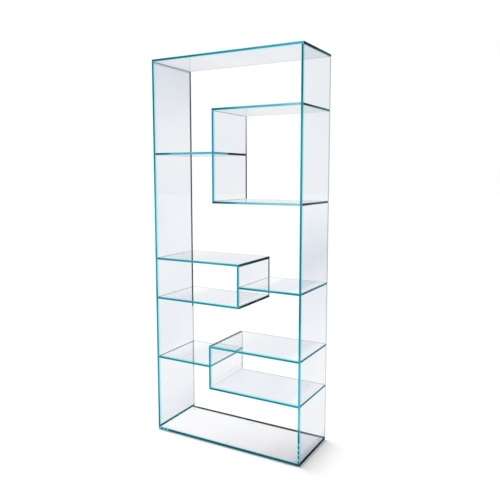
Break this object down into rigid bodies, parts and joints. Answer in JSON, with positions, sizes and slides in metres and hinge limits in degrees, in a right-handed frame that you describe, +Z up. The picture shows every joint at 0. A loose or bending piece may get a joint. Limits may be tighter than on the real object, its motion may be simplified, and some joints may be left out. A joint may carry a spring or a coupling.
{
  "type": "glass bookcase",
  "caption": "Tall open bookcase of clear glass panes bonded edge to face, with offset boxes and short shelves between full-height sides, for books and display.",
  "frame": {"origin": "middle of the footprint, on the floor, under the pads", "axes": "+Z up, +X to the right and +Y to the back for someone who stands in front"},
  "size_m": [0.9, 0.35, 2.1],
  "materials": {
    "clear_glass": "polished clear float glass, edges polished flat with a fine arris, teal at the edge",
    "cured_adhesive": "thin clear ultraviolet-cured film that reads as a dark green line between two panes",
    "clear_pad": "soft clear bumper, slightly hazy"
  },
  "bodies": {
    "root": {"base": "clear_glass", "top": "clear_glass", "left_side": "clear_glass", "right_side": "clear_glass", "upper_box_floor": "clear_glass", "upper_box_top": "clear_glass", "upper_box_wall": "clear_glass", "middle_box_floor": "clear_glass", "middle_box_top": "clear_glass", "middle_box_wall": "clear_glass", "lower_box_floor": "clear_glass", "lower_box_top": "clear_glass", "lower_box_wall": "clear_glass", "upper_left_shelf": "clear_glass", "middle_right_shelf": "clear_glass", "lower_left_shelf": "clear_glass", "bond_left_side_to_base": "cured_adhesive", "bond_left_side_to_top": "cured_adhesive", "bond_right_side_to_base": "cured_adhesive", "bond_right_side_to_top": "cured_adhesive", "bond_upper_box_wall_to_upper_box_floor": "cured_adhesive", "bond_upper_box_wall_to_upper_box_top": "cured_adhesive", "bond_upper_box_floor_to_right_side": "cured_adhesive", "bond_upper_box_top_to_right_side": "cured_adhesive", "bond_middle_box_wall_to_middle_box_floor": "cured_adhesive", "bond_middle_box_wall_to_middle_box_top": "cured_adhesive", "bond_middle_box_floor_to_left_side": "cured_adhesive", "bond_middle_box_top_to_left_side": "cured_adhesive", "bond_lower_box_wall_to_lower_box_floor": "cured_adhesive", "bond_lower_box_wall_to_lower_box_top": "cured_adhesive", "bond_lower_box_floor_to_right_side": "cured_adhesive", "bond_lower_box_top_to_right_side": "cured_adhesive", "bond_upper_left_shelf_to_left_side": "cured_adhesive", "bond_upper_left_shelf_to_upper_box_wall": "cured_adhesive", "bond_middle_right_shelf_to_right_side": "cured_adhesive", "bond_middle_right_shelf_to_middle_box_wall": "cured_adhesive", "bond_lower_left_shelf_to_left_side": "cured_adhesive", "bond_lower_left_shelf_to_lower_box_wall": "cured_adhesive", "floor_pad_front_left": "clear_pad", "floor_pad_front_middle": "clear_pad", "floor_pad_front_right": "clear_pad", "floor_pad_back_left": "clear_pad", "floor_pad_back_middle": "clear_pad", "floor_pad_back_right": "clear_pad"}
  },
  "joints": []
}
